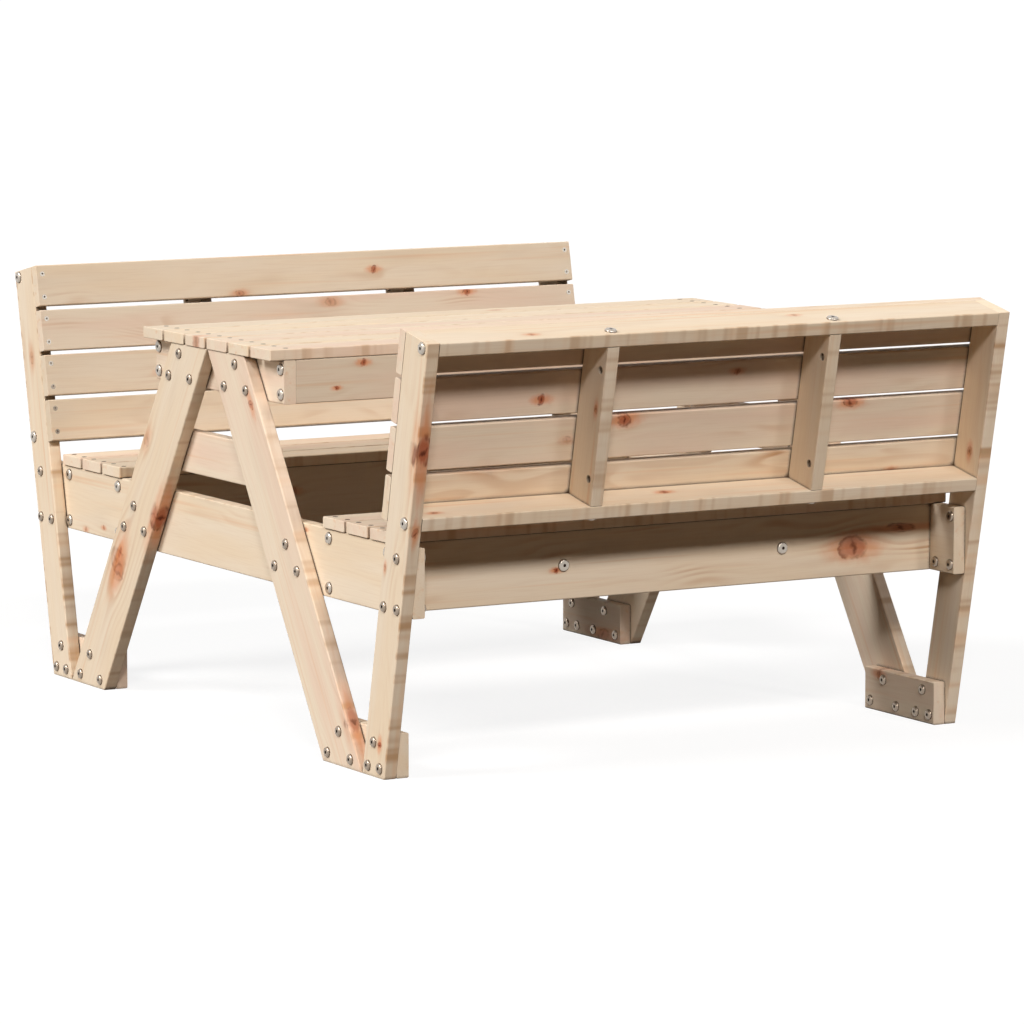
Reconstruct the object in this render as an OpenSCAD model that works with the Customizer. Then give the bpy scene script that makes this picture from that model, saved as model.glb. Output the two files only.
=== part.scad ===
// Children's picnic table in planed pine: a plank table between two benches with
// backrests, all bolted to two end frames.
// X runs along the table, Y across it and Z up. The origin is on the ground under
// the middle of the table. Both ends match and so do both benches, so most pieces
// are drawn once, for the rear bench and the right end, and mirrored from there.

/* [Table] */
// Length of the table boards
table_l = 880; // [740:1:1060]
// Height of the table's upper face
table_h = 522; // [440:1:630]
// Number of boards across the table
table_boards = 6; // [5, 6]
// Height of the leg braces above the seat rails, as far as the table rails leave room
brace_rise = 30; // [10:1:45]

/* [Benches] */
// Height of the seat's upper face
seat_h = 315; // [265:1:375]
// Open space between the edge of the table and the edge of the seat, seen from above
legroom = 112; // [95:1:150]
// Number of slats in a backrest
back_slats = 4; // [3, 4]
// Lean of the backrest from upright, in degrees
back_lean = 11.7; // [5:0.1:14]
// Open height between the seat and the lowest slat
back_gap = 17; // [10:1:60]
// Distance of the seat supports and the back stiles from the middle
support_x = 167; // [120:1:240]

/* [Timber] */
// Width of the narrow boards: table, seats, slats, posts, blocks and short rails
board_w = 58; // [50:0.5:70]
// Thickness of the boards of the table, the seats and the backs
board_t = 15; // [12:0.5:18]
// Width of the wide boards: legs, seat rails, aprons, beams and supports
rail_w = 90; // [75:0.5:108]
// Thickness of the frame timber
frame_t = 18; // [15:0.5:22]
// Gap between two boards that lie side by side
board_gap = 6; // [3:0.5:8]
// Radius of the eased long edges
ease = 2; // [1:0.25:3]

/* [Overhangs] */
// Reach of the table boards past the outer faces of the end frames
table_overhang = 2; // [0:0.5:10]
// Reach of the seat boards past the outer faces of the seat rails
seat_overhang = 3; // [0:0.5:10]
// Reach of the seat's edge past the face of the seat apron
seat_nose = 3; // [0:0.5:10]
// Reach of the lowest slat below the back's bottom rail
slat_lip = 3; // [0:0.5:10]

/* [Bolts] */
// Thread of all bolts
bolt_d = 6; // [5:0.5:7]
// Head of the through bolts and their sleeve nuts
bolt_head_d = 14; // [12:0.5:15]
// Head of the connector bolts
connector_head_d = 16; // [13:0.5:17]
// Height of every bolt head
bolt_head_h = 3.2; // [2:0.1:4]
// Barrel of a sleeve nut, which the holes in the end frames fit
sleeve_d = 8; // [7.5:0.5:9]
// Barrel nut that a connector bolt screws into
barrel_d = 10; // [9:0.5:12]
// Depth of the barrel nut's axis in the end of its board
barrel_in = 33; // [25:1:38]
// Depth of the barrel nut's ends below the faces of its board
barrel_sunk = 3; // [2:0.5:4]
// Socket in the heads, across flats
socket_af = 4; // [3:0.5:5]

/* [Bolt layout] */
// Height of the bolt triangles between their lower pair and their upper bolt
bolt_rise = 32; // [28:1:34]
// Level distance of the lower bolts from the edges of a leg
leg_bolt_edge = 22; // [15:0.5:26]
// Level distance of the lower bolts from the edges of a post
post_bolt_edge = 14; // [12:0.5:16]
// Distance of the outer post bolts from the end of the seat rail
rail_end_bolt = 8; // [7.5:0.5:12]
// Distance of bolts from the long edges of the rail they pass through
edge_bolt = 12.5; // [12:0.5:15]

/* [Screws] */
// Shank of the wood screws
screw_d = 4; // [3:0.5:4.5]
// Head of the wood screws
screw_head_d = 7; // [6:0.5:8]
// Distance of the screws from the long edges of their board
screw_edge = 12.5; // [10:0.5:18]
// Depth that the board screws reach into the rail below, short of its bolts
screw_bite = 8; // [6:0.5:8]
// Depth that the slat screws reach into the posts
slat_screw_bite = 20; // [12:1:25]
// Distance of a brace's screws from its end
brace_screw_in = 20; // [12:1:25]

/* [Clearances] */
// Gap around a bolt, a nut or a screw in its hole
hole_clear = 0.2; // [0.1:0.05:0.3]
// Gap between a leg and its post at the floor
foot_gap = 0.5; // [0.3:0.1:3]
// Gap between the tops of the two legs of an end frame
leg_gap = 1; // [0.5:0.5:10]
// Gap between the seat's rear edge and the posts
seat_gap = 9; // [5:0.5:20]
// Gap between a connector's head on the seat rail and the post beside it
head_gap = 0.5; // [0.3:0.1:3]
// Timber left behind a barrel nut in its blind hole
barrel_wall = 2; // [1.5:0.5:3]
// Timber left in a leg past the tip of a brace's screw
tip_wall = 1; // [0.5:0.5:3]
// Least gap between a leg brace and the table rail
brace_gap = 3; // [1:0.5:5]

/* [Hidden] */
SEAT_BOARDS = 3;
ENDS = ["left", "right"];
SIDES = ["front", "rear"];
PINE = [0.93, 0.85, 0.72];
STEEL = [0.72, 0.73, 0.75];
EASE_FLATS = 3;
RIGHT_ANGLE = 90;
OVERCUT = 10;
FAR = 3000;
$fn = 48;

pitch = board_w + board_gap;
frame_x = table_l / 2 - table_overhang;
rail_x = frame_x - frame_t;
inner_x = rail_x - frame_t;
rail_mid_x = (rail_x + inner_x) / 2;
rail_span = 2 * inner_x;
post_span = 2 * rail_x;

table_under = table_h - board_t;
table_half = (table_boards * pitch - board_gap) / 2;
table_rail_low = table_under - board_w;
table_apron_y = table_half - frame_t / 2;

seat_under = seat_h - board_t;
seat_rail_low = seat_under - rail_w;
seat_front = table_half + legroom;
seat_back = seat_front + SEAT_BOARDS * pitch - board_gap;
seat_l = 2 * (rail_x + seat_overhang);
seat_apron_y = seat_front + seat_nose + frame_t / 2;

// The post leans through a point that lies one gap behind the seat's lower edge
post_level_w = board_w / cos(back_lean);
function post_front(z) = seat_back + seat_gap + (z - seat_under) * tan(back_lean);
function post_back(z) = post_front(z) + post_level_w;
slats_h = back_slats * pitch - board_gap;
post_top = seat_h + back_gap + slats_h * cos(back_lean) - board_w * sin(back_lean);
post_l = (post_top + board_w * sin(back_lean)) / cos(back_lean) + OVERCUT;
seat_rail_half = post_back(seat_rail_low);

// The leg is a board of known width between its upper inner corner at the middle
// and its lower outer corner beside the post, which settles how far it splays
leg_reach = post_front(0) - foot_gap - leg_gap / 2;
leg_splay = acos(rail_w / norm([leg_reach, table_under])) - atan2(table_under, leg_reach);
leg_level_w = rail_w / cos(leg_splay);
leg_l = table_under / cos(leg_splay) + rail_w * tan(leg_splay);
function leg_out(z) = post_front(0) - foot_gap - z * tan(leg_splay);
function leg_in(z) = leg_out(z) - leg_level_w;

// The brace lies behind the two legs of an end frame, and ends at the middle of each
brace_low = min(seat_under + brace_rise, table_rail_low - brace_gap - board_w);
brace_mid_z = brace_low + board_w / 2;
brace_half = (leg_in(brace_mid_z) + leg_out(brace_mid_z)) / 2;

// The beam sits as far back as the posts leave room for its connectors' heads
beam_bolt_z = seat_rail_low + edge_bolt;
head_room = (connector_head_d / 2 + head_gap) / cos(back_lean);
beam_y = post_front(beam_bolt_z) - head_room;
support_y0 = seat_apron_y + frame_t / 2;
support_l = beam_y - frame_t / 2 - support_y0;
support_mid_z = seat_under - rail_w / 2;

// The seat apron's lower connector keeps the usual distance from the rail's edge,
// or goes as high as its head needs to clear the leg that slopes past it
head_to_leg = (connector_head_d / 2 + head_gap) / cos(leg_splay);
clear_of_leg_z = (leg_out(0) + head_to_leg - seat_apron_y) / tan(leg_splay);
seat_apron_bolt_z = max(seat_rail_low + edge_bolt, clear_of_leg_z);

// Places along the post, down from its top
bottom_rail_at = slats_h - slat_lip;
stile_l = bottom_rail_at - 2 * frame_t;
barrel_l = frame_t - 2 * barrel_sunk;
connector_l = frame_t + barrel_in + barrel_d;

// Lengths of the wood screws
board_screw_l = board_t + screw_bite;
slat_screw_l = board_t + slat_screw_bite;
brace_screw_l = 2 * frame_t - tip_wall;

// A through bolt and its sleeve nut share the thickness of the end frame
frame_bolt_l = 2 * frame_t - bolt_d;
sleeve_l = frame_t - bolt_head_h;
socket_floor = bolt_head_h / 4;

// Three bolts: a lower pair and one above, midway, centred on a rail's middle line
function triangle(y_in, y_out, mid_z) = [
    [y_in, mid_z - bolt_rise / 2],
    [y_out, mid_z - bolt_rise / 2],
    [(y_in + y_out) / 2, mid_z + bolt_rise / 2]
];
function leg_bolts(mid_z) = triangle(
    leg_in(mid_z - bolt_rise / 2) + leg_bolt_edge,
    leg_out(mid_z - bolt_rise / 2) - leg_bolt_edge,
    mid_z
);
foot_mid_z = board_w / 2;
foot_leg_bolts = leg_bolts(foot_mid_z);
seat_leg_bolts = leg_bolts(support_mid_z);
table_leg_bolts = leg_bolts(table_rail_low + board_w / 2);
foot_post_bolts = triangle(
    post_front(foot_mid_z - bolt_rise / 2) + post_bolt_edge,
    post_back(foot_mid_z - bolt_rise / 2) - post_bolt_edge,
    foot_mid_z
);
seat_post_bolts = [
    [post_front(beam_bolt_z) + post_bolt_edge, beam_bolt_z],
    [seat_rail_half - rail_end_bolt, beam_bolt_z],
    [seat_rail_half - rail_end_bolt, seat_under - edge_bolt]
];
frame_bolt_places = concat(
    foot_leg_bolts, seat_leg_bolts, table_leg_bolts, foot_post_bolts, seat_post_bolts
);

function table_board_y(i) = (i - 1) * pitch - table_half;
function seat_board_y(i) = seat_front + (i - 1) * pitch;

// Section of a planed board, a by b, whose corners are eased in a few short flats
function eased(a, b) = [
    for (c = [[a - ease, b - ease], [ease, b - ease], [ease, ease], [a - ease, ease]])
        for (k = [0:EASE_FLATS])
            c + ease * unit_at(corner_turn(c, a, b) + k * RIGHT_ANGLE / EASE_FLATS)
];
function unit_at(angle) = [cos(angle), sin(angle)];
function corner_turn(c, a, b) =
    c[0] > a / 2 ? (c[1] > b / 2 ? 0 : 3 * RIGHT_ANGLE) : (c[1] > b / 2 ? RIGHT_ANGLE : 2 * RIGHT_ANGLE);

// Board along X, centred, w wide along Y and t thick along Z
module board_along(l, w, t) {
    rotate([90, 0, 90])
        linear_extrude(height = l, center = true)
            polygon(eased(w, t));
}

// Board along Y from the origin, t thick along X and w wide up Z
module board_across(l, w, t) {
    translate([0, l, 0])
        rotate([90, 0, 0])
            linear_extrude(height = l)
                polygon(eased(t, w));
}

// Board up Z from the origin, t thick along X and w wide along Y
module board_up(l, w, t) {
    linear_extrude(height = l)
        polygon(eased(t, w));
}

// Keeps what lies between two heights, as a level saw cut does
module cut_level(low, high) {
    intersection() {
        children();
        translate([-FAR / 2, -FAR / 2, low])
            cube([FAR, FAR, high - low]);
    }
}

// Mirrors a piece of the rear bench to the named side of the table
module on_side(side) {
    if (side == "rear")
        children();
    else
        mirror([0, 1, 0])
            children();
}

// Mirrors a piece of the right end to the named end of the table
module on_end(end) {
    if (end == "right")
        children();
    else
        mirror([1, 0, 0])
            children();
}

// Frame of the backrest: origin on the rear top edge of the posts, Z up along them
module in_back() {
    translate([0, post_back(post_top), post_top])
        rotate([-back_lean, 0, 0])
            children();
}

// Hole through an end frame for a through bolt and its sleeve nut
module frame_hole(place) {
    translate([inner_x - OVERCUT, place[0], place[1]])
        rotate([0, 90, 0])
            cylinder(d = sleeve_d + 2 * hole_clear, h = 2 * (frame_t + OVERCUT));
}

// Places for connectors. Z points out along the bolt from the seat of its head,
// and Y points to the face of the timber that its barrel nut goes in through.
// Both ends of a rail on edge that lies between the end frames, low and high in it
module at_rail_ends(y, low, high, open) {
    for (end = [-1, 1])
        for (z = [low, high])
            translate([end * rail_x, y, z])
                rotate([0, end * 90, 0])
                    rotate([0, 0, open > 0 ? 0 : 180])
                        children();
}

module at_table_apron_ends() {
    at_rail_ends(table_apron_y, table_rail_low + edge_bolt, table_under - edge_bolt, -1)
        children();
}

module at_seat_apron_ends() {
    at_rail_ends(seat_apron_y, seat_apron_bolt_z, seat_under - edge_bolt, 1)
        children();
}

module at_seat_beam_ends() {
    at_rail_ends(beam_y, beam_bolt_z, seat_under - edge_bolt, -1)
        children();
}

// Both ends of a seat support, through the apron and through the beam
module at_support_ends(x) {
    translate([x, seat_apron_y - frame_t / 2, support_mid_z])
        rotate([90, 0, 0])
            rotate([0, 0, 90])
                children();
    translate([x, beam_y + frame_t / 2, support_mid_z])
        rotate([-90, 0, 0])
            rotate([0, 0, 90])
                children();
}

// Both ends of a back rail whose lower face is down below the top of the posts
module at_back_rail_ends(down) {
    in_back()
        for (end = [-1, 1])
            translate([end * frame_x, -edge_bolt, frame_t / 2 - down])
                rotate([0, end * 90, 0])
                    rotate([0, 0, end * -90])
                        children();
}

// Both ends of a back stile, through the top rail and through the bottom rail
module at_stile_ends(x) {
    in_back() {
        translate([x, -edge_bolt, 0])
            rotate([0, 0, 90])
                children();
        translate([x, -edge_bolt, -bottom_rail_at])
            rotate([180, 0, 0])
                rotate([0, 0, 90])
                    children();
    }
}

// Holes for one connector bolt and its barrel nut
module connector_hole() {
    translate([0, 0, -connector_l - 1])
        cylinder(d = bolt_d + 2 * hole_clear, h = connector_l + 2);
    translate([0, barrel_wall - frame_t / 2, -frame_t - barrel_in])
        rotate([-90, 0, 0])
            cylinder(d = barrel_d + 2 * hole_clear, h = frame_t);
}

// Places for the screws of one board, at x, whose near edge is at y
module at_board_screws(x, y, height) {
    for (edge = [screw_edge, board_w - screw_edge])
        translate([x, y + edge, height])
            children();
}

module at_table_screws(x) {
    for (i = [1:table_boards])
        at_board_screws(x, table_board_y(i), table_h)
            children();
}

module at_seat_screws(x) {
    for (i = [1:SEAT_BOARDS])
        at_board_screws(x, seat_board_y(i), seat_h)
            children();
}

// Places for the screws of back slat i into a post, heads towards the table
module at_slat_screws(i) {
    in_back()
        for (edge = [screw_edge, board_w - screw_edge])
            translate([rail_x + frame_t / 2, -board_w - board_t, -(i - 1) * pitch - edge])
                rotate([90, 0, 0])
                    children();
}

// Places for the screws of a leg brace into a leg, heads on its inner face
module at_brace_screws() {
    for (edge = [screw_edge, board_w - screw_edge])
        translate([inner_x, brace_half - brace_screw_in, brace_low + edge])
            rotate([0, -90, 0])
                children();
}

// Outline of half a countersunk screw, head at the top, with its tip pointed
function screw_outline(length, grow) = [
    [0, grow], [screw_head_d / 2 + grow, grow], [screw_head_d / 2 + grow, 0],
    [screw_d / 2 + grow, (screw_d - screw_head_d) / 2], [screw_d / 2 + grow, screw_d - length - grow],
    [0, -length - grow]
];

module screw_hole(length) {
    rotate_extrude()
        polygon(screw_outline(length, hole_clear));
}

module screw(length) {
    recess = screw_head_d / 4;
    difference() {
        rotate_extrude()
            polygon(screw_outline(length, 0));
        translate([0, 0, -recess])
            cylinder(d = screw_head_d / 2, h = recess + 1, $fn = 6);
    }
}

// Low bolt head with a bevelled rim and a hexagon socket, its seat at the origin
module bolt_head(d) {
    bevel = bolt_head_h / 2;
    difference() {
        rotate_extrude()
            polygon([[0, 0], [d / 2, 0], [d / 2, bolt_head_h - bevel], [d / 2 - bevel, bolt_head_h],
                [0, bolt_head_h]]);
        translate([0, 0, socket_floor])
            cylinder(d = socket_af / cos(30), h = bolt_head_h, $fn = 6);
    }
}

// Through bolt, from the outer face of the frame into its sleeve nut
module frame_bolt() {
    bolt_head(bolt_head_d);
    translate([0, 0, -frame_bolt_l])
        cylinder(d = bolt_d, h = frame_bolt_l + socket_floor);
}

// Sleeve nut, from the inner face of the frame, with a blind bore for the bolt
module sleeve_nut() {
    bolt_head(bolt_head_d);
    difference() {
        translate([0, 0, -sleeve_l])
            cylinder(d = sleeve_d, h = sleeve_l + socket_floor);
        translate([0, 0, -sleeve_l - 1])
            cylinder(d = bolt_d + 2 * hole_clear, h = sleeve_l + 1 - bolt_head_h);
    }
}

module connector_bolt() {
    bolt_head(connector_head_d);
    translate([0, 0, -connector_l])
        cylinder(d = bolt_d, h = connector_l + socket_floor);
}

// Barrel nut across the board, with a cross bore for its bolt
module barrel_nut() {
    translate([0, 0, -frame_t - barrel_in])
        difference() {
            rotate([90, 0, 0])
                cylinder(d = barrel_d, h = barrel_l, center = true);
            cylinder(d = bolt_d + 2 * hole_clear, h = 2 * barrel_d, center = true);
        }
}

module leg() {
    color(PINE)
        difference() {
            cut_level(0, table_under)
                translate([rail_x, leg_out(0), 0])
                    rotate([leg_splay, 0, 0])
                        translate([0, -rail_w, -rail_w])
                            board_up(leg_l + 2 * rail_w, rail_w, frame_t);
            for (place = concat(foot_leg_bolts, seat_leg_bolts, table_leg_bolts))
                frame_hole(place);
            at_brace_screws()
                screw_hole(brace_screw_l);
        }
}

module back_post() {
    color(PINE)
        difference() {
            cut_level(0, FAR)
                in_back()
                    translate([rail_x, -board_w, -post_l])
                        board_up(post_l, board_w, frame_t);
            for (place = concat(foot_post_bolts, seat_post_bolts))
                frame_hole(place);
            for (down = [frame_t, bottom_rail_at])
                at_back_rail_ends(down)
                    connector_hole();
            for (i = [1:back_slats])
                at_slat_screws(i)
                    screw_hole(slat_screw_l);
        }
}

module foot_block() {
    color(PINE)
        difference() {
            translate([inner_x, leg_in(0), 0])
                board_across(post_back(0) - leg_in(0), board_w, frame_t);
            for (place = concat(foot_leg_bolts, foot_post_bolts))
                frame_hole(place);
        }
}

module seat_rail() {
    color(PINE)
        difference() {
            translate([inner_x, -seat_rail_half, seat_rail_low])
                board_across(2 * seat_rail_half, rail_w, frame_t);
            for (side = SIDES)
                on_side(side) {
                    for (place = concat(seat_leg_bolts, seat_post_bolts))
                        frame_hole(place);
                    at_seat_apron_ends()
                        connector_hole();
                    at_seat_beam_ends()
                        connector_hole();
                    at_seat_screws(rail_mid_x)
                        screw_hole(board_screw_l);
                }
        }
}

module table_rail() {
    color(PINE)
        difference() {
            translate([inner_x, -table_half, table_rail_low])
                board_across(2 * table_half, board_w, frame_t);
            for (side = SIDES)
                on_side(side) {
                    for (place = table_leg_bolts)
                        frame_hole(place);
                    at_table_apron_ends()
                        connector_hole();
                }
            at_table_screws(rail_mid_x)
                screw_hole(board_screw_l);
        }
}

module leg_brace() {
    color(PINE)
        difference() {
            translate([inner_x, -brace_half, brace_low])
                board_across(2 * brace_half, board_w, frame_t);
            for (side = SIDES)
                on_side(side)
                    at_brace_screws()
                        screw_hole(brace_screw_l);
        }
}

module table_board(i) {
    color(PINE)
        difference() {
            translate([0, table_board_y(i), table_under])
                board_along(table_l, board_w, board_t);
            for (end = [-1, 1])
                at_board_screws(end * rail_mid_x, table_board_y(i), table_h)
                    screw_hole(board_screw_l);
        }
}

module table_apron() {
    color(PINE)
        difference() {
            translate([0, table_apron_y - frame_t / 2, table_rail_low])
                board_along(rail_span, frame_t, board_w);
            at_table_apron_ends()
                connector_hole();
        }
}

module seat_board(i) {
    color(PINE)
        difference() {
            translate([0, seat_board_y(i), seat_under])
                board_along(seat_l, board_w, board_t);
            for (x = [-rail_mid_x, -support_x, support_x, rail_mid_x])
                at_board_screws(x, seat_board_y(i), seat_h)
                    screw_hole(board_screw_l);
        }
}

module seat_apron() {
    color(PINE)
        difference() {
            translate([0, seat_apron_y - frame_t / 2, seat_rail_low])
                board_along(rail_span, frame_t, rail_w);
            at_seat_apron_ends()
                connector_hole();
            for (x = [-support_x, support_x]) {
                at_support_ends(x)
                    connector_hole();
                at_seat_screws(x)
                    screw_hole(board_screw_l);
            }
        }
}

module seat_beam() {
    color(PINE)
        difference() {
            translate([0, beam_y - frame_t / 2, seat_rail_low])
                board_along(rail_span, frame_t, rail_w);
            at_seat_beam_ends()
                connector_hole();
            for (x = [-support_x, support_x]) {
                at_support_ends(x)
                    connector_hole();
                at_seat_screws(x)
                    screw_hole(board_screw_l);
            }
        }
}

module seat_support(x) {
    color(PINE)
        difference() {
            translate([x - frame_t / 2, support_y0, seat_rail_low])
                board_across(support_l, rail_w, frame_t);
            at_support_ends(x)
                connector_hole();
            at_seat_screws(x)
                screw_hole(board_screw_l);
        }
}

module back_slat(i) {
    color(PINE)
        difference() {
            in_back()
                translate([0, -board_w - board_t, -(i - 1) * pitch - board_w])
                    board_along(2 * frame_x, board_t, board_w);
            for (end = ENDS)
                on_end(end)
                    at_slat_screws(i)
                        screw_hole(slat_screw_l);
        }
}

// Rail between the posts, whose lower face is down below their top
module back_rail(down) {
    color(PINE)
        difference() {
            in_back()
                translate([0, -board_w, -down])
                    board_along(post_span, board_w, frame_t);
            at_back_rail_ends(down)
                connector_hole();
            for (x = [-support_x, support_x])
                at_stile_ends(x)
                    connector_hole();
        }
}

module back_stile(x) {
    color(PINE)
        difference() {
            in_back()
                translate([x - frame_t / 2, -board_w, frame_t - bottom_rail_at])
                    board_up(stile_l, board_w, frame_t);
            at_stile_ends(x)
                connector_hole();
        }
}

// Every connector of the table
module at_connectors() {
    for (side = SIDES)
        on_side(side) {
            at_table_apron_ends()
                children();
            at_seat_apron_ends()
                children();
            at_seat_beam_ends()
                children();
            for (down = [frame_t, bottom_rail_at])
                at_back_rail_ends(down)
                    children();
            for (x = [-support_x, support_x]) {
                at_support_ends(x)
                    children();
                at_stile_ends(x)
                    children();
            }
        }
}

// Every through bolt, or from the inner face every sleeve nut
module at_frame_bolts(x, turn) {
    for (side = SIDES)
        for (end = ENDS)
            on_side(side)
                on_end(end)
                    for (place = frame_bolt_places)
                        translate([x, place[0], place[1]])
                            rotate([0, turn, 0])
                                children();
}

module frame_bolts() {
    color(STEEL)
        at_frame_bolts(frame_x, 90)
            frame_bolt();
}

module frame_sleeve_nuts() {
    color(STEEL)
        at_frame_bolts(inner_x, -90)
            sleeve_nut();
}

// Connector bolts, each with its barrel nut
module connector_bolts() {
    color(STEEL)
        at_connectors() {
            connector_bolt();
            barrel_nut();
        }
}

// Wood screws of the table boards, the seat boards, the slats and the leg braces
module board_screws() {
    color(STEEL) {
        for (x = [-rail_mid_x, rail_mid_x])
            at_table_screws(x)
                screw(board_screw_l);
        for (side = SIDES)
            on_side(side) {
                for (x = [-rail_mid_x, -support_x, support_x, rail_mid_x])
                    at_seat_screws(x)
                        screw(board_screw_l);
                for (end = ENDS)
                    on_end(end) {
                        for (i = [1:back_slats])
                            at_slat_screws(i)
                                screw(slat_screw_l);
                        at_brace_screws()
                            screw(brace_screw_l);
                    }
            }
    }
}

for (s = SIDES) {
    for (e = ENDS) {
        x = e == "right" ? support_x : -support_x;
        on_side(s) on_end(e) leg();
        on_side(s) on_end(e) back_post();
        on_side(s) on_end(e) foot_block();
        on_side(s) seat_support(x);
        on_side(s) back_stile(x);
    }
    on_side(s) table_apron();
    on_side(s) seat_apron();
    on_side(s) seat_beam();
    for (i = [1:SEAT_BOARDS])
        on_side(s) seat_board(i);
    for (i = [1:back_slats])
        on_side(s) back_slat(i);
    on_side(s) back_rail(frame_t);
    on_side(s) back_rail(bottom_rail_at);
}
for (e = ENDS) {
    on_end(e) seat_rail();
    on_end(e) table_rail();
    on_end(e) leg_brace();
}
for (i = [1:table_boards])
    table_board(i);
frame_bolts();
frame_sleeve_nuts();
connector_bolts();
board_screws();
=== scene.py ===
import math
import random

import bmesh
import bpy
from mathutils import Matrix, Vector


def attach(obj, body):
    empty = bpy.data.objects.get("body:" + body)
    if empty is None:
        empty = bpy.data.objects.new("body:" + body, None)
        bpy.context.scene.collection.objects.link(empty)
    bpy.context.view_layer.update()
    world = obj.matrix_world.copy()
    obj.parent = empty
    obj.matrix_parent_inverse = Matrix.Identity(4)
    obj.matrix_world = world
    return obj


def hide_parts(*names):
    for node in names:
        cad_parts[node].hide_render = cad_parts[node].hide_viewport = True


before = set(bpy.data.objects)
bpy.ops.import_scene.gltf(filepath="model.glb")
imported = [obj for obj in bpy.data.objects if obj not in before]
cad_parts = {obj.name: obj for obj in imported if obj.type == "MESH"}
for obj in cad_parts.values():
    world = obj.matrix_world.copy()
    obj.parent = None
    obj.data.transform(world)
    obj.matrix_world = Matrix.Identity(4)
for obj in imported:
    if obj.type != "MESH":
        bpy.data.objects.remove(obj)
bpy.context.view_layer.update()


# Splayed legs: four wide pine boards, planed on all sides with their corners eased, and
# sawn level where they stand on the floor and where they carry the table boards. Each is
# bolted through the seat rail and the table rail of its end frame.

MM = 0.001
EASED_EDGE = 0.5 * MM
PALE, CREAM, ROSE, ASH = "f0e0ca", "efdbc0", "eed5c0", "e0cfba"
LATE_WOOD, FIBRE, TAN, HONEY = "cda27c", "dcc0a2", "c49d76", "e8bf98"
# The last colour is painted shade, for seams and corners where shade falls.
HALO, KNOT, RING, BARK, CREASE_SHADE = "e08f5e", "a3492d", "6f2c17", "4f2115", "3c2416"


def copied(node, ending):
    """A copy of a CAD node, its loose triangles merged into clean faces. It is open in edit
    mode, and comes with the cells in which its edges are picked."""
    piece = bpy.data.objects.new(node + ending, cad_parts[node].data.copy())
    bpy.context.scene.collection.objects.link(piece)
    piece.data.materials.clear()
    bpy.ops.object.select_all(action="DESELECT")
    piece.select_set(True)
    bpy.context.view_layer.objects.active = piece
    if piece.data.has_custom_normals:
        bpy.ops.mesh.customdata_custom_splitnormals_clear()
    bpy.ops.object.mode_set(mode="EDIT")
    bpy.ops.mesh.select_all(action="SELECT")
    bpy.ops.mesh.remove_doubles(threshold=MM / 100)
    bpy.ops.mesh.dissolve_limited(angle_limit=math.radians(1))
    bpy.ops.mesh.select_all(action="DESELECT")
    bpy.ops.mesh.select_mode(type="EDGE")
    return piece, bmesh.from_edit_mesh(piece.data)


def rounded(piece, radius, smooth_below):
    """Rounds the picked edges, and shades the piece smooth below that angle in degrees."""
    bmesh.update_edit_mesh(piece.data)
    bpy.ops.mesh.bevel(offset=radius, segments=2)
    bpy.ops.object.mode_set(mode="OBJECT")
    bpy.ops.object.shade_smooth_by_angle(angle=math.radians(smooth_below))


def planed(node, radius):
    """The board of a CAD node, its outer corners rounded over and its holes left sharp."""
    board, cells = copied(node, "_pine")
    points = [v.co.copy() for v in cells.verts]
    skin = {f for f in cells.faces if all((p - f.verts[0].co).dot(f.normal) < MM / 20 for p in points)}
    for edge in cells.edges:
        sides = edge.link_faces
        if len(sides) == 2 and skin.issuperset(sides) and edge.calc_face_angle() > math.radians(40):
            edge.select_set(True)
    rounded(board, radius, smooth_below=50)
    board.modifiers.new("flat_faces", "WEIGHTED_NORMAL").keep_sharp = True
    bpy.ops.object.modifier_apply(modifier="flat_faces")
    return board


class Pattern:
    """A shader socket that can be written in sums, such as a number that varies over a
    surface."""

    def __init__(self, finish, socket):
        self.finish, self.socket = finish, socket

    def out(self, name):
        return Pattern(self.finish, self.socket.node.outputs[name])

    def math(self, operation, *values):
        return self.finish.node("Math", {"operation": operation}, dict(enumerate(values)))

    def __add__(self, other):
        return self.math("ADD", self, other)

    def __sub__(self, other):
        return self.math("SUBTRACT", self, other)

    def __rsub__(self, other):
        return self.math("SUBTRACT", other, self)

    def __mul__(self, other):
        return self.math("MULTIPLY", self, other)

    def __truediv__(self, other):
        return self.math("DIVIDE", self, other)

    def __rtruediv__(self, other):
        return self.math("DIVIDE", other, self)

    def __pow__(self, other):
        return self.math("POWER", self, other)

    def __abs__(self):
        return self.math("ABSOLUTE", self)

    __radd__, __rmul__ = __add__, __mul__


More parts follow.
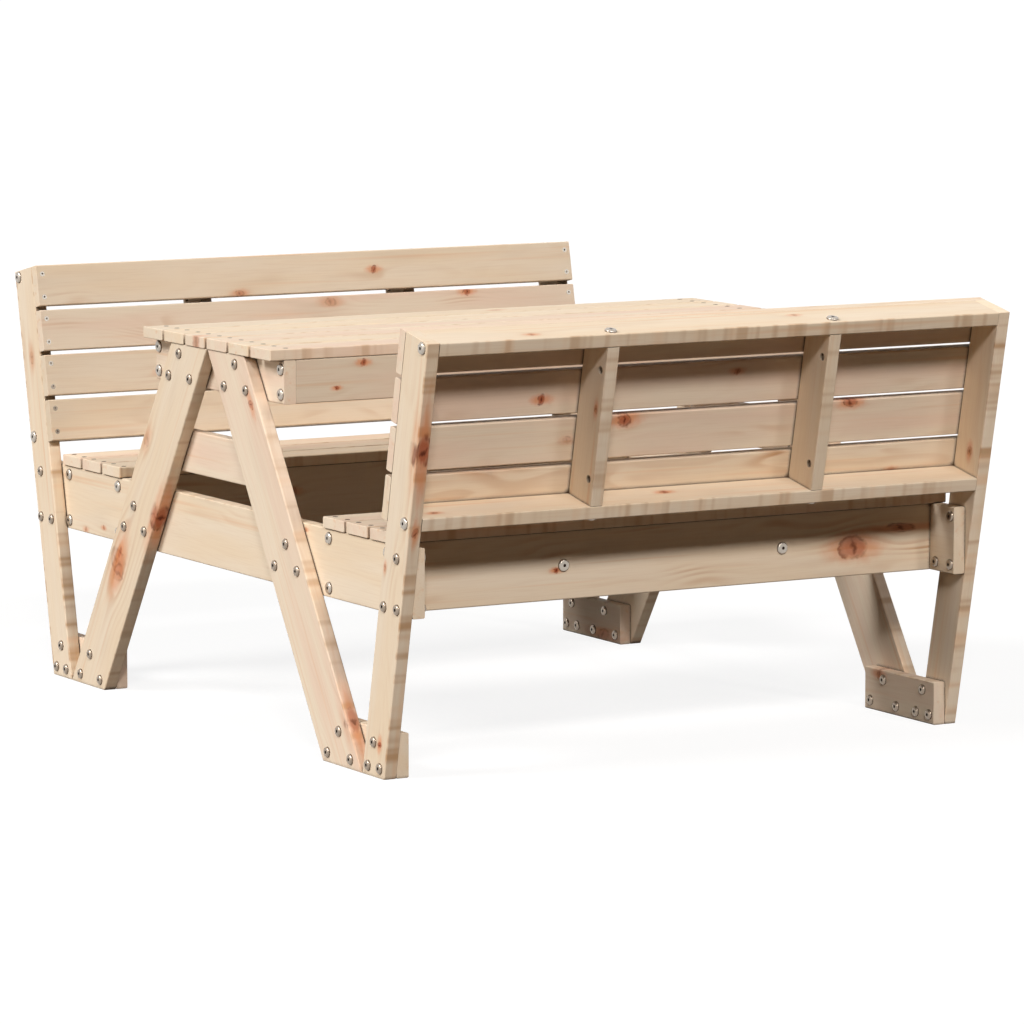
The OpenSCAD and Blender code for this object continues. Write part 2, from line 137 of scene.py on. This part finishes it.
class Finish:
    """The procedural shader of a material or of the world, built node by node."""

    def __init__(self, owner):
        owner.use_nodes = True
        self.owner, self.tree = owner, owner.node_tree
        self.tree.nodes.clear()

    def node(self, kind, settings=None, sockets=None, result=0):
        """Any node: its type, its settings, then the values or links of its sockets."""
        made = self.tree.nodes.new("ShaderNode" + kind)
        for name, value in (settings or {}).items():
            setattr(made, name, value)
        for name, value in (sockets or {}).items():
            if isinstance(value, Pattern):
                self.tree.links.new(value.socket, made.inputs[name])
            else:
                made.inputs[name].default_value = value
        return Pattern(self, made.outputs[result]) if made.outputs else None

    def axes(self, place):
        """The X, Y and Z of a place."""
        x = self.node("SeparateXYZ", {}, {0: place})
        return x, x.out("Y"), x.out("Z")

    def rise(self, value, start, end):
        """0 below start and 1 above end, with a soft step between them."""
        return self.node("MapRange", {"interpolation_type": "SMOOTHSTEP"},
                         {"Value": value, "From Min": start, "From Max": end})

    def stain(self, share, ground, colour):
        """The share of a colour laid over the ground."""
        factor, first, second, mixed = 0, 6, 7, 2
        return self.node("Mix", {"data_type": "RGBA"}, {factor: share, first: ground, second: colour}, mixed)

    def drift(self, place, along, across, shift, detail=1.0):
        """Noise round 0, in blotches that many mm along the grain and across it."""
        stretched = self.node("VectorMath", {"operation": "MULTIPLY_ADD"},
                              {0: place, 1: (1 / along, 1 / across, 1 / across), 2: shift})
        return self.node("TexNoise", {}, {"Vector": stretched, "Scale": 1.0, "Detail": detail}) * 4 - 2

    def crease_shade(self, reach, samples, start, end):
        """Where painted shade goes: 0 in the open and 1 in seams and corners, looking that many mm round
        each point.
        """
        open_sky = self.node("AmbientOcclusion", {"samples": samples}, {"Distance": reach * MM}, "AO")
        return 1 - self.rise(open_sky, start, end)


def dye(code, level=1.0):
    """The linear colour of a code such as f0e2ca, lighter or darker by a level."""
    shares = [int(code[i:i + 2], 16) / 255 for i in (0, 2, 4)]
    return [level * (s / 12.92 if s <= 0.04045 else ((s + 0.055) / 1.055) ** 2.4) for s in shares] + [1.0]


def grain_of(board):
    """Middle of a board, its turn, X along the grain and Z out of its wide face, and half
    its length and width in mm."""
    points = [v.co for v in board.data.vertices]
    middle = Vector([(min(p[i] for p in points) + max(p[i] for p in points)) / 2 for i in range(3)])
    edges = [points[a] - points[b] for a, b in (e.vertices for e in board.data.edges)]
    along = max(edges, key=lambda e: e.length).normalized()
    face = max(board.data.polygons, key=lambda p: p.area).normal.copy()
    along *= math.copysign(1, max(along, key=abs))
    face *= math.copysign(1, max(face, key=abs))
    across = face.cross(along)
    half_length = max((p - middle).dot(along) for p in points)
    half_width = max((p - middle).dot(across) for p in points)
    turn = Matrix((along, across, face)).transposed().to_euler()
    return middle, turn, half_length / MM, half_width / MM


def somewhere(chance):
    """A place of its own in the noise."""
    return [chance.uniform(-50, 50) for _ in range(3)]


def knotty(wood, place, knot, half_width, chance):
    """How near each point is to a knot, and the knot's marks as shares of their colours. A
    knot is given in mm from the board's middle: along the grain, across it, radius, how
    dark, the edge it sits on, +1 or -1, or 0 for the face, and how far the saw has drawn it
    out along the grain."""
    knot_x, knot_y, size, dark, edge, drawn = knot
    gone_below_edge, whole_below_edge = 22, 6
    x, y, z = wood.axes(place)
    ragged_x = wood.drift(place, size * drawn * 0.9, size * 0.7, somewhere(chance), 3.0)
    ragged_y = wood.drift(place, size * drawn * 0.8, size * 0.8, somewhere(chance), 3.0)
    lean, slim = chance.uniform(-0.5, 0.5), chance.uniform(0.75, 1.25)
    off_x = (x - knot_x) / (size * drawn)
    off_y = (z if edge else y) / size - knot_y / size
    depth = 1.0
    if edge:
        depth = wood.rise(y * edge, half_width - gone_below_edge, half_width - whole_below_edge)
    reach = off_x * off_x * 0.07 + off_y * off_y * 0.34
    near = 1 / ((reach + 1) * (reach + 1)) * depth

    bent_x = off_x * slim + off_y * lean + ragged_x * 0.22
    bent_y = off_y / slim - off_x * lean * 0.4 + ragged_y * 0.22
    away = (bent_x * bent_x + bent_y * bent_y) ** 0.5
    flare = (off_x * off_x * 0.13 + off_y * off_y * 0.75) ** 0.5 + ragged_y * 0.16
    halo = (1 - wood.rise(flare, 0.25, 1.35)) * depth
    core = (1 - wood.rise(away, 0.55, 1.0)) * depth
    ring = wood.rise(away, 0.62, 0.88) * (1 - wood.rise(away, 0.92, 1.12))
    ring = ring * wood.rise(ragged_x, -0.6, 0.7) * depth
    speck = 1 - wood.rise(abs(bent_x - lean * 0.5) + away * 0.5, 0.1, 0.5)
    return near, [
        (halo * (0.22 + 0.6 * dark), HALO),
        (core * (0.14 + 0.75 * dark * dark), KNOT),
        (ring * (0.2 + 0.6 * dark), RING),
        (speck * core * (0.1 + 0.8 * dark), BARK),
    ]


def pine(board, knots=(), banded=0.0, level=1.0, blush=None, figure=0.5):
    """Pine sawn from a log of its own. Yearly rings run round a pith beside the board and
    bend round its knots. The numbers say how strongly bands cross its edges, how light and
    how pink it is, and how clearly the rings show on its faces."""
    chance = random.Random(board.name)
    middle, turn, half_length, half_width = grain_of(board)
    pith_turn, pith_off = chance.uniform(0, math.tau), chance.uniform(30, 110)
    pith_y, pith_z = pith_off * math.cos(pith_turn), pith_off * math.sin(pith_turn)
    ring_width = chance.uniform(8.0, 14.0)
    ring_wander = 14
    taper = chance.choice((-1, 1)) * chance.uniform(0.015, 0.06)
    shifts = [somewhere(chance) for _ in range(12)]
    blush = chance.random() if blush is None else blush
    level *= chance.uniform(0.97, 1.02)

    wood = Finish(bpy.data.materials.new(board.name))
    place = wood.node("Mapping", {"vector_type": "TEXTURE"}, {
        "Vector": wood.node("TexCoord", result="Object"), "Location": middle, "Rotation": turn,
        "Scale": (MM, MM, MM)})
    x, y, z = wood.axes(place)
    ring_y = y + wood.drift(place, 190, 70, shifts[0]) * ring_wander
    ring_z = z + wood.drift(place, 170, 70, shifts[1]) * ring_wander
    swirl, marks = 0.0, []
    for knot in knots:
        near, knot_marks = knotty(wood, place, knot, half_width, chance)
        _, knot_y, _, _, edge, _ = knot
        if edge:
            ring_z = ring_z - (z - knot_y) * near * 0.8
        else:
            ring_y = ring_y - (y - knot_y) * near * 0.8
        swirl = near * 0.5 + swirl
        marks += knot_marks

    off_y, off_z = ring_y - pith_y, ring_z - pith_z
    years = (off_y * off_y + off_z * off_z) ** 0.5 / ring_width + x * (taper / ring_width)
    years = years + wood.drift(place, 400, 20, shifts[3]) * 0.35
    year = years.math("FRACT", years)
    late = wood.rise(year, 0.2, 0.72) * (1 - wood.rise(year, 0.78, 1.0))
    end_grain = wood.rise(abs(x), half_length - 1.2, half_length - 0.6)
    shows = wood.rise(wood.drift(place, 170, 30, shifts[4]), 0.15, 1.3) * figure + swirl
    shows = (shows + max(0.03, figure - 1)) * (1 - end_grain * 0.7)
    fibre = wood.rise(wood.drift(place, 60, 1.8, shifts[5], 2.0), -0.2, 1.1)
    hair = wood.rise(wood.drift(place, 110, 1.3, shifts[6]), 1.25, 1.6)

    warm = wood.rise(wood.drift(place, 260, 32, shifts[7]), -0.9, 0.9)
    grey = wood.rise(wood.drift(place, 180, 40, shifts[8]), 0.2, 1.3)
    streak = wood.rise(wood.drift(place, 420, 8, shifts[9]), 0.3, 1.3)
    base = wood.stain(warm, dye(PALE, level), dye(ROSE if blush > 0.4 else CREAM, level))
    base = wood.stain(grey * 0.5, base, dye(ASH, level))
    base = wood.stain(streak * 0.55, base, dye(HONEY, level))
    base = wood.stain(late * shows, base, dye(LATE_WOOD, level))
    base = wood.stain(fibre * 0.2 + hair * 0.3, base, dye(FIBRE, level * 0.96))
    if banded:
        edge_face = wood.rise(abs(y), half_width - 3.5, half_width - 1.0)
        bands = wood.rise(wood.drift(place, 15, 400, shifts[10]), -0.1, 1.0)
        warm_bands = wood.rise(wood.drift(place, 24, 400, shifts[11]), 0.1, 1.1)
        base = wood.stain(edge_face * bands * banded, base, dye(TAN, level))
        base = wood.stain(edge_face * warm_bands * (banded * 0.6), base, dye(HONEY, level))
    for share, tint in marks:
        base = wood.stain(share, base, dye(tint))
    # Painted shade: darker in seams and corners between parts, found by ambient occlusion.
    base = wood.stain(wood.crease_shade(8, 6, 0.32, 0.7) * 0.92, base, dye(CREASE_SHADE))

    relief = fibre * 0.6 + late * shows * 0.5
    bump = wood.node("Bump", {}, {"Height": relief, "Strength": 0.12, "Distance": 0.2 * MM})
    shader = wood.node("BsdfPrincipled", {}, {
        "Base Color": base, "Roughness": fibre * 0.12 + 0.5, "Normal": bump, "Specular IOR Level": 0.05})
    wood.node("OutputMaterial", {}, {"Surface": shader})
    board.data.materials.append(wood.owner)


def fit(node, slot, knots=(), radius=EASED_EDGE, **looks):
    """Puts a finished board in the place of its CAD node. A knot without a sixth number
    isn't drawn out."""
    board = planed(node, radius)
    pine(board, [(*knot, 1.0)[:6] for knot in knots], **looks)
    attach(board, "root")
    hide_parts(node)


leg_knots = {
    "leg_rear_left": [
        (-88, -15, 19, 0.4, 0, 1.2), (-74, -18, 6, 0.7, 0, 1.5), (113, -33, 10, 0.15, 0),
        (38, -1, 11, 0.85, 1, 2.2), (-101, -7, 15, 0.3, 0),
    ],
    "leg_front_left": [(208, 29, 6, 0.6, 0, 1.5), (-257, 0, 8, 0.6, 1, 2.6)],
    "leg_front_right": [(-60, 20, 8, 0.4, 0)],
    "leg_rear_right": [(120, -10, 9, 0.5, 0)],
}
for node, knots in leg_knots.items():
    fit(node, "frame_pine", knots=knots, banded=0.6, figure=0.15, blush=0.2 if "rear" in node else 0.9)


# Back posts: narrow boards that stand beside the legs at the floor and lean away from the
# table. They carry the seat rail's ends, the backrest's frame and its slats.

post_knots = {
    "back_post_front_left": [
        (-248, 10, 5, 0.9, 0), (-20, -21, 4, 0.5, 0), (149, 0, 9, 0.9, 1, 3.2), (41, 0, 5, 0.7, 1, 1.6),
    ],
    "back_post_rear_left": [(162, 0, 8, 0.15, 0)],
    "back_post_front_right": [(90, 5, 6, 0.5, 0)],
    "back_post_rear_right": [(-120, -8, 7, 0.6, 0)],
}
# Painted light: these two posts are made lighter for how light falls on them.
post_painted_light = {"back_post_front_right": 1.1, "back_post_rear_left": 1.04}
for node, knots in post_knots.items():
    level = post_painted_light.get(node, 0.97)
    fit(node, "frame_pine", knots=knots, banded=0.9, level=level, blush=0.2, figure=0.2)


# Foot blocks: short boards on the inner faces of each leg and post, low enough to lie on
# the floor. Six bolts tie the leg, the post and the block into a stiff corner. The two at
# the right end are pinker, and painted darker as shade, the rear one much more.

CORNERS = ("front_left", "front_right", "rear_left", "rear_right")

foot_knots = {"front_right": [(49, 22, 7, 0.6, 0)], "rear_right": [(-35, -20, 9, 0.35, 0, 2.0)]}
foot_tone_and_shade = {"front_right": {"level": 0.97, "blush": 0.9}, "rear_right": {"level": 0.86, "blush": 0.9}}
for corner in CORNERS:
    knots, looks = foot_knots.get(corner, []), foot_tone_and_shade.get(corner, {})
    fit(f"foot_block_{corner}", "frame_pine", knots=knots, banded=0.4, **looks)


# Seat rails: one wide board across each end frame, from post to post behind the legs. Both
# benches hang on it.

seat_rail_knots = {
    "seat_rail_left": [(361, -31, 3.5, 0.6, 0), (419, -40, 4, 0.5, 0), (-249, 36, 3, 0.6, 0)],
    "seat_rail_right": [(-210, 12, 7, 0.5, 0)],
}
for node, knots in seat_rail_knots.items():
    fit(node, "frame_pine", knots=knots, banded=0.4, blush=0.2, figure=0.2)


# Table rails: a short board across the top of each end frame, on which the table boards
# lie. Each is bolted to the two legs.

for end in ("left", "right"):
    fit(f"table_rail_{end}", "frame_pine", banded=0.4, figure=0.2)


# Leg braces: a short board behind the two legs of each end frame, just above the seat rail,
# screwed to them from inside.

for end in ("left", "right"):
    fit(f"leg_brace_{end}", "frame_pine", level=1.02, blush=0.9, figure=0.05)


# Table aprons: a rail under each long edge of the table, held between the two table rails
# by bolts into its end grain. Both are painted darker as the shade under the table boards.

apron_knots = {
    "table_apron_front": [(-302, -21, 5, 0.85, 0), (-342, 11, 3.5, 0.9, 0), (120, 8, 6, 0.6, 0)],
    "table_apron_rear": [(60, -5, 6, 0.5, 0)],
}
for node, knots in apron_knots.items():
    fit(node, "frame_pine", knots=knots, level=0.89)


# Seat aprons and beams: the rails under the front and the rear edge of each bench, between
# the end frames. The beam is the one that shows below the backrest.

bench_rail_knots = {
    "seat_apron_front": [(100, 14, 7, 0.5, 0)],
    "seat_apron_rear": [(-150, -10, 6, 0.4, 0)],
    "seat_beam_front": [(280, 7, 19, 0.72, 0), (356, -15, 5.5, 0.6, 0, 5.0), (-178, 6, 4, 0.95, 0)],
    "seat_beam_rear": [(-220, 10, 8, 0.5, 0)],
}
# Painted shade: seat_apron_rear is made darker for the shade it lies in under the table.
bench_rail_shade = {"seat_apron_rear": 0.86}
for node, knots in bench_rail_knots.items():
    fit(node, "frame_pine", knots=knots, figure=0.8, level=bench_rail_shade.get(node, 1.0))


# Seat supports: short cross pieces between apron and beam that carry the seat boards'
# middle and hold them level.

for corner in CORNERS:
    fit(f"seat_support_{corner}", "frame_pine")


# Backrest frames: a top rail and a bottom rail between the posts, with two stiles between
# them. All meet the slats edge on, so the rails' wide faces look up and down.

back_frame_knots = {
    "back_top_rail_front": [(124, 9, 5, 0.35, 0), (-280, -12, 5, 0.4, 0)],
    "back_top_rail_rear": [],
    "back_bottom_rail_front": [(-46, 6, 6, 0.75, 0), (-394, -10, 5, 0.6, 0)],
    "back_bottom_rail_rear": [],
    "back_stile_front_left": [(20, 16, 5, 0.5, 0)],
    "back_stile_front_right": [],
    "back_stile_rear_left": [],
    "back_stile_rear_right": [],
}
for node, knots in back_frame_knots.items():
    fit(node, "frame_pine", knots=knots, banded=0.55, blush=0.2, figure=0.25)


# Table boards: six planed boards screwed down across the table rails and aprons with narrow
# gaps between them. Their corners are sanded rounder than those of the frame.

SANDED_EDGE = 1.1 * MM

table_knots = {2: [(180, -12, 5, 0.3, 0)], 4: [(-440, -4, 9, 0.3, 0)], 6: [(99, 1, 6, 0.3, 0)]}
for row in range(1, 7):
    fit(f"table_board_{row}", "board_pine", knots=table_knots.get(row, []), radius=SANDED_EDGE,
        banded=0.5, level=0.98, figure=0.15)


# Seat boards: three to a bench, sanded like the table and screwed down the same way on the
# seat rails and supports.

for side in ("front", "rear"):
    for row in range(1, 4):
        fit(f"seat_board_{side}_{row}", "board_pine", radius=SANDED_EDGE, banded=0.5, figure=0.25)


# Back slats: four planed boards to a backrest, screwed to the posts' inner edges with
# narrow gaps between them, two screws to a post.

slat_knots = {
    "front_1": [],
    "front_2": [(-231, 8, 6.5, 0.9, 0), (60, -14, 5, 0.5, 0)],
    "front_3": [(-103, -21, 10, 0.85, 0), (243, -26, 9, 0.75, 0), (-186, 0, 6, 0.1, 0)],
    "front_4": [(320, 8, 5, 0.3, 0), (-300, -48, 24, 0.0, 0)],
    "rear_1": [(103, -1, 5.5, 0.8, 0), (-119, 25, 6, 0.45, 0)],
    "rear_2": [(27, -20, 8, 0.2, 0), (255, -25, 6, 0.8, 0)],
    "rear_3": [(-260, 4, 5, 0.15, 0)],
    "rear_4": [(200, 6, 6, 0.4, 0)],
}
# Painted shade: the levels of rear_3 and rear_4 make them darker for how light falls on them.
slat_tone_and_shade = {
    "front_4": {"figure": 1.25, "blush": 0.2, "level": 0.95},
    "rear_3": {"level": 0.94, "blush": 0.2},
    "rear_4": {"level": 0.87, "blush": 0.2},
}
for row, knots in slat_knots.items():
    fit(f"back_slat_{row}", "board_pine", knots=knots, **slat_tone_and_shade.get(row, {}))


# Bolts and nuts: zinc plated steel. Through bolts and their sleeve nuts hold the end frames
# together, and connector bolts pull the rails on to them with barrel nuts across the grain.

def plated(node, base, bloomed, shade_reach):
    """The CAD fasteners of one kind with their slanted rims rounded, in plated steel with
    painted shade within that many mm of its creases."""
    steel, cells = copied(node, "_plated")
    for edge in cells.edges:
        if len(edge.link_faces) == 2 and 40 < math.degrees(edge.calc_face_angle()) < 50:
            edge.select_set(True)
    rounded(steel, 0.6 * MM, smooth_below=35)

    zinc = Finish(bpy.data.materials.new(node))
    place = zinc.node("Mapping", {}, {
        "Vector": zinc.node("TexCoord", result="Object"), "Scale": (900, 900, 900)})
    bloom = zinc.node("TexNoise", {}, {"Vector": place, "Scale": 1.0, "Detail": 3.0})
    colour = zinc.stain(zinc.rise(bloom, 0.35, 0.7) * 0.5, dye(base), dye(bloomed))
    # Painted shade: darker round the rims where they meet the wood, and in the sockets.
    colour = zinc.stain(zinc.crease_shade(shade_reach, 8, 0.35, 0.95) * 0.95, colour, dye(CREASE_SHADE))
    shader = zinc.node("BsdfPrincipled", {}, {
        "Base Color": colour, "Metallic": 0.7, "Roughness": bloom * 0.16 + 0.16})
    zinc.node("OutputMaterial", {}, {"Surface": shader})
    steel.data.materials.append(zinc.owner)
    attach(steel, "root")
    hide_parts(node)
    return steel


for node in ("frame_bolts", "frame_sleeve_nuts"):
    plated(node, "a59686", "857869", 7)
plated("connector_bolts", "c0b7ac", "9d9489", 7)


# Screws: countersunk wood screws, two where each board crosses what carries it. Those of
# the seats and the table lie face up in their holes and are painted dull brown as shade.

SEAT_SCREWS_BELOW, TABLE_SCREWS_ABOVE, TABLE_HALF_WIDTH = 0.32, 0.45, 0.21

screws = plated("board_screws", "e8e2d6", "c6bdb0", 2)
# Painted shade: a dull dark brown for the shade in the screws' holes.
screw_shade = Finish(bpy.data.materials.new("browned_screws"))
hole_shade_surface = screw_shade.node("BsdfPrincipled", {}, {
    "Base Color": dye("4a3524"), "Roughness": 0.9, "Specular IOR Level": 0.0})
screw_shade.node("OutputMaterial", {}, {"Surface": hole_shade_surface})
screws.data.materials.append(screw_shade.owner)
for face in screws.data.polygons:
    in_seat = face.center.z < SEAT_SCREWS_BELOW
    in_table = face.center.z > TABLE_SCREWS_ABOVE and abs(face.center.y) < TABLE_HALF_WIDTH
    if in_seat or in_table:
        face.material_index = 1


# Studio: a white floor without an edge, a row of three lamps on the camera's side, a soft one
# at the left end with a weak low one under it, and the camera where the photo was taken from.

def shows_white(finish):
    """1 where the camera sees the background, straight or in metal, and 0 for stray light."""
    rays = finish.node("LightPath")
    return rays.out("Is Camera Ray") + rays.out("Is Glossy Ray") + rays.out("Is Transmission Ray")


bpy.ops.object.select_all(action="DESELECT")
bpy.ops.mesh.primitive_plane_add(size=240)
floor = bpy.context.active_object
floor.name = "floor"

paper = Finish(bpy.data.materials.new("floor"))
glow = paper.node("Emission", {}, {"Color": (1, 1, 1, 1), "Strength": 0.87})
shaded = paper.node("BsdfDiffuse", {}, {"Color": (0.18, 0.18, 0.18, 1)})
lit = paper.node("AddShader", {}, {0: glow, 1: shaded})
dim = paper.node("BsdfDiffuse", {}, {"Color": (0.10, 0.075, 0.055, 1)})
sheet = paper.node("MixShader", {}, {0: shows_white(paper), 1: dim, 2: lit})
paper.node("OutputMaterial", {}, {"Surface": sheet})
floor.data.materials.append(paper.owner)

world = bpy.data.worlds.new("studio")
bpy.context.scene.world = world
sky = Finish(world)
ambient = sky.node("Background", {}, {"Color": (1, 0.75, 0.55, 1), "Strength": 0.008})
white = sky.node("Background", {}, {"Color": (1, 1, 1, 1), "Strength": 1.0})
dome = sky.node("MixShader", {}, {0: shows_white(sky), 1: ambient, 2: white})
sky.node("OutputWorld", {}, {"Surface": dome})

# Each lamp: turn from the camera's side towards the left end, height, strength, softness, tint
lamps = {
    "lamp_front_right": (-20, 38, 0.62, 9, (1.0, 0.95, 0.91)),
    "lamp_front": (4, 40, 0.83, 9, (1.0, 0.95, 0.91)),
    "lamp_front_left": (28, 36.5, 1.03, 9, (1.0, 0.95, 0.91)),
    "lamp_left": (97, 39, 2.5, 22, (1.0, 0.99, 0.97)),
    "lamp_low": (92, 9, 0.5, 14, (1.0, 0.93, 0.86)),
}
for name, (side, height, strength, softness, tint) in lamps.items():
    lamp = bpy.data.objects.new(name, bpy.data.lights.new(name, "SUN"))
    bpy.context.scene.collection.objects.link(lamp)
    lamp.data.energy, lamp.data.angle, lamp.data.color = strength, math.radians(softness), tint
    lamp.rotation_euler = (math.radians(90 - height), 0, math.radians(-side))

FOCAL_PX, PHOTO_PX, SENSOR_MM = 5462.68, 1024, 36
CAMERA_PLACE, CAMERA_DOWN, CAMERA_TURN = (-3.6912, -6.4998, 1.2243), 7.354, 29.802

camera = bpy.data.objects.new("camera", bpy.data.cameras.new("camera"))
bpy.context.scene.collection.objects.link(camera)
camera.data.sensor_width = SENSOR_MM
camera.data.lens = FOCAL_PX / PHOTO_PX * SENSOR_MM
camera.data.clip_end = 300
camera.location = CAMERA_PLACE
camera.rotation_euler = (math.radians(90 - CAMERA_DOWN), 0, math.radians(-CAMERA_TURN))
bpy.context.scene.camera = camera
bpy.context.scene.view_settings.view_transform = "Standard"
